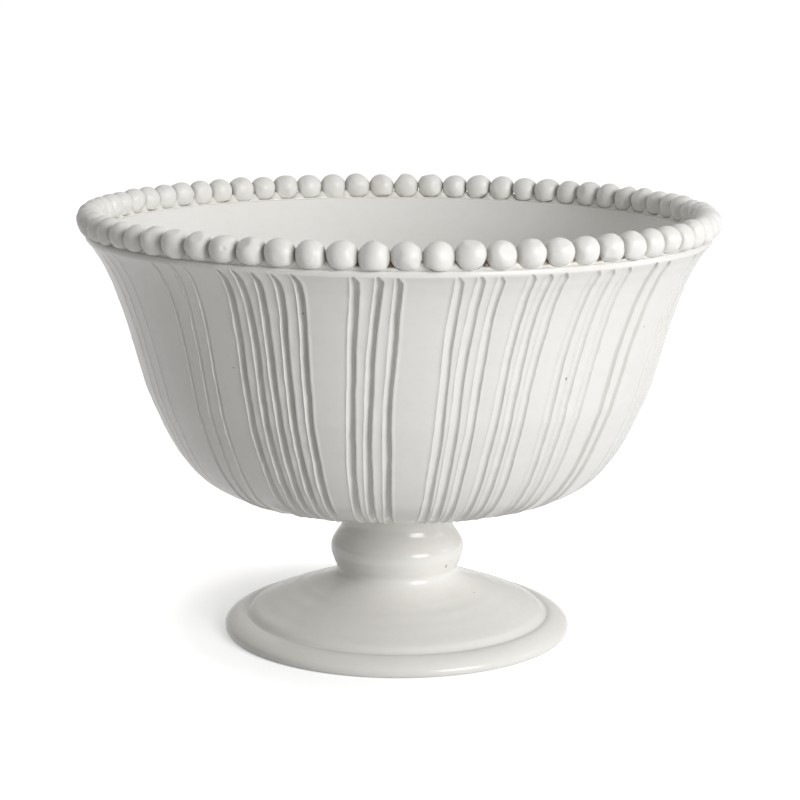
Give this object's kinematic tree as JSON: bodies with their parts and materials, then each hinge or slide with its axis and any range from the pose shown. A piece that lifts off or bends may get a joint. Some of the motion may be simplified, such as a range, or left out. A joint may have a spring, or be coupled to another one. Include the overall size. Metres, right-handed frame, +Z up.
{
  "type": "footed compote bowl",
  "caption": "Footed serving bowl: flared, combed wall on a knopped hollow pedestal, rim edged with round beads, in plain white glaze.",
  "frame": {"origin": "centre of the circle that the foot stands on, at table level", "axes": "+Z up along the bowl's axis of revolution; the pictured front faces -Y and +X is to its right"},
  "size_m": [0.3341, 0.334, 0.2292],
  "materials": {
    "bowl_glaze": "gloss",
    "pedestal_glaze": "gloss",
    "bead_glaze": "gloss",
    "rim_slip": "gloss",
    "joint_slip": "gloss"
  },
  "bodies": {
    "root": {"bowl": "bowl_glaze", "pedestal": "pedestal_glaze", "joint_slip": "joint_slip", "rim_slip": "rim_slip", "rim_beads_01": "bead_glaze", "rim_beads_02": "bead_glaze", "rim_beads_03": "bead_glaze", "rim_beads_04": "bead_glaze", "rim_beads_05": "bead_glaze", "rim_beads_06": "bead_glaze", "rim_beads_07": "bead_glaze", "rim_beads_08": "bead_glaze", "rim_beads_09": "bead_glaze", "rim_beads_10": "bead_glaze", "rim_beads_11": "bead_glaze", "rim_beads_12": "bead_glaze", "rim_beads_13": "bead_glaze", "rim_beads_14": "bead_glaze", "rim_beads_15": "bead_glaze", "rim_beads_16": "bead_glaze", "rim_beads_17": "bead_glaze", "rim_beads_18": "bead_glaze", "rim_beads_19": "bead_glaze", "rim_beads_20": "bead_glaze", "rim_beads_21": "bead_glaze", "rim_beads_22": "bead_glaze", "rim_beads_23": "bead_glaze"}
  },
  "joints": []
}
